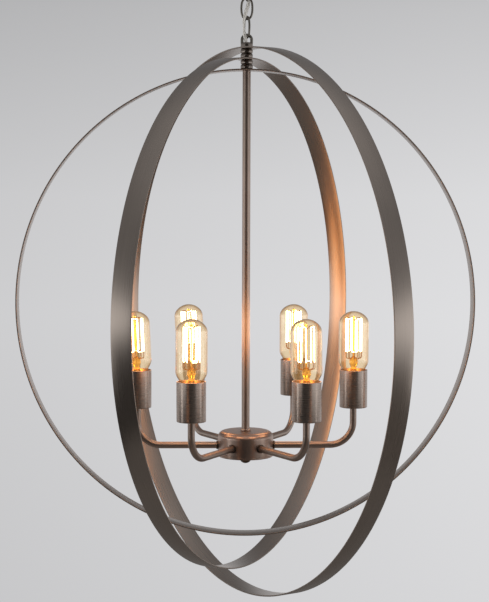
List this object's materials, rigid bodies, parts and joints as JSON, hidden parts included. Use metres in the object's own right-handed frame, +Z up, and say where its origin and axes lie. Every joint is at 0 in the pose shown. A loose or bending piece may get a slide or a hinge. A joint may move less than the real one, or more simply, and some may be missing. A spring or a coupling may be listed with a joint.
{
  "type": "orb chandelier",
  "caption": "Hanging orb chandelier: nested flat steel hoops round a stem, with a hub, bent arms, straight cups and tubular filament bulbs, on a chain from a round canopy.",
  "frame": {"origin": "midway between the two ceiling screw slots of the crossbar, in the plane of the ceiling", "axes": "+Z up into the ceiling; the picture looks along +Y, with +X to its right"},
  "size_m": [0.6834, 0.6942, 0.9593],
  "materials": {
    "brushed_nickel": "brushed dark nickel",
    "dark_nickel_wire": "dark nickel, plain",
    "zinc_steel": "zinc plated",
    "clear_flex": "clear jacket over silver strands",
    "moulded_holder": "moulded, satin",
    "brass_contact": "rolled brass",
    "cap_metal": "nickel plated",
    "amber_glass": "clear, amber tint",
    "lit_filament": "lit wire on a glass mount"
  },
  "bodies": {
    "canopy": {"canopy": "brushed_nickel", "crossbar": "zinc_steel", "ceiling_nipple": "zinc_steel", "crossbar_nut": "zinc_steel", "canopy_loop": "dark_nickel_wire", "canopy_nut": "brushed_nickel", "cord_1": "clear_flex"},
    "link_1": {"chain_link_1": "dark_nickel_wire", "cord_2": "clear_flex"},
    "link_2": {"chain_link_2": "dark_nickel_wire", "cord_3": "clear_flex"},
    "link_3": {"chain_link_3": "dark_nickel_wire", "cord_4": "clear_flex"},
    "fixture": {"top_loop": "dark_nickel_wire", "top_nipple": "zinc_steel", "hoop_spacers": "brushed_nickel", "stem": "brushed_nickel", "stem_collar": "brushed_nickel", "hub_nipple": "zinc_steel", "hub": "brushed_nickel", "hub_cover": "brushed_nickel", "finial": "brushed_nickel", "arm_nuts": "zinc_steel", "arm_rings": "brushed_nickel", "lampholders": "moulded_holder", "holder_contacts": "brass_contact", "cord_in_stem": "clear_flex", "arm_1": "brushed_nickel", "arm_2": "brushed_nickel", "arm_3": "brushed_nickel", "arm_4": "brushed_nickel", "arm_5": "brushed_nickel", "arm_6": "brushed_nickel", "cup_1": "brushed_nickel", "cup_2": "brushed_nickel", "cup_3": "brushed_nickel", "cup_4": "brushed_nickel", "cup_5": "brushed_nickel", "cup_6": "brushed_nickel"},
    "hoop_outer": {"hoop_outer": "brushed_nickel"},
    "hoop_middle": {"hoop_middle": "brushed_nickel"},
    "hoop_inner": {"hoop_inner": "brushed_nickel"},
    "bulb_1": {"bulb_1_glass": "amber_glass", "bulb_1_cap": "cap_metal", "bulb_1_filament": "lit_filament"},
    "bulb_2": {"bulb_2_glass": "amber_glass", "bulb_2_cap": "cap_metal", "bulb_2_filament": "lit_filament"},
    "bulb_3": {"bulb_3_glass": "amber_glass", "bulb_3_cap": "cap_metal", "bulb_3_filament": "lit_filament"},
    "bulb_4": {"bulb_4_glass": "amber_glass", "bulb_4_cap": "cap_metal", "bulb_4_filament": "lit_filament"},
    "bulb_5": {"bulb_5_glass": "amber_glass", "bulb_5_cap": "cap_metal", "bulb_5_filament": "lit_filament"},
    "bulb_6": {"bulb_6_glass": "amber_glass", "bulb_6_cap": "cap_metal", "bulb_6_filament": "lit_filament"}
  },
  "joints": [
    {"name": "link_1_swing", "type": "hinge", "parent": "canopy", "child": "link_1", "pos_m": [0, 0, -0.0528], "axis": [1, 0, 0], "range_deg": [-15, 15], "deforming": ["cord_1"]},
    {"name": "link_2_twist", "type": "hinge", "parent": "link_1", "child": "link_2", "pos_m": [0, 0, -0.076], "axis": [0, 0, 1], "range_deg": [-20, 20], "deforming": ["cord_2"]},
    {"name": "link_3_swing", "type": "hinge", "parent": "link_2", "child": "link_3", "pos_m": [0, 0, -0.1068], "axis": [1, 0, 0], "range_deg": [-15, 15], "deforming": ["cord_3"]},
    {"name": "fixture_swing", "type": "hinge", "parent": "link_3", "child": "fixture", "pos_m": [0, 0, -0.1341], "axis": [0.4695, -0.8829, 0], "range_deg": [-15, 15], "deforming": ["cord_4"]},
    {"name": "hoop_outer_turn", "type": "hinge", "parent": "fixture", "child": "hoop_outer", "pos_m": [0, 0, -0.14815], "axis": [0, 0, 1], "continuous": true},
    {"name": "hoop_middle_turn", "type": "hinge", "parent": "fixture", "child": "hoop_middle", "pos_m": [0, 0, -0.16415], "axis": [0, 0, 1], "continuous": true},
    {"name": "hoop_inner_turn", "type": "hinge", "parent": "fixture", "child": "hoop_inner", "pos_m": [0, 0, -0.18015], "axis": [0, 0, 1], "continuous": true},
    {"name": "bulb_1_unscrew", "type": "slide", "parent": "fixture", "child": "bulb_1", "axis": [0, 0, 1], "range_m": [0, 0.03]},
    {"name": "bulb_2_unscrew", "type": "slide", "parent": "fixture", "child": "bulb_2", "axis": [0, 0, 1], "range_m": [0, 0.03]},
    {"name": "bulb_3_unscrew", "type": "slide", "parent": "fixture", "child": "bulb_3", "axis": [0, 0, 1], "range_m": [0, 0.03]},
    {"name": "bulb_4_unscrew", "type": "slide", "parent": "fixture", "child": "bulb_4", "axis": [0, 0, 1], "range_m": [0, 0.03]},
    {"name": "bulb_5_unscrew", "type": "slide", "parent": "fixture", "child": "bulb_5", "axis": [0, 0, 1], "range_m": [0, 0.03]},
    {"name": "bulb_6_unscrew", "type": "slide", "parent": "fixture", "child": "bulb_6", "axis": [0, 0, 1], "range_m": [0, 0.03]}
  ]
}
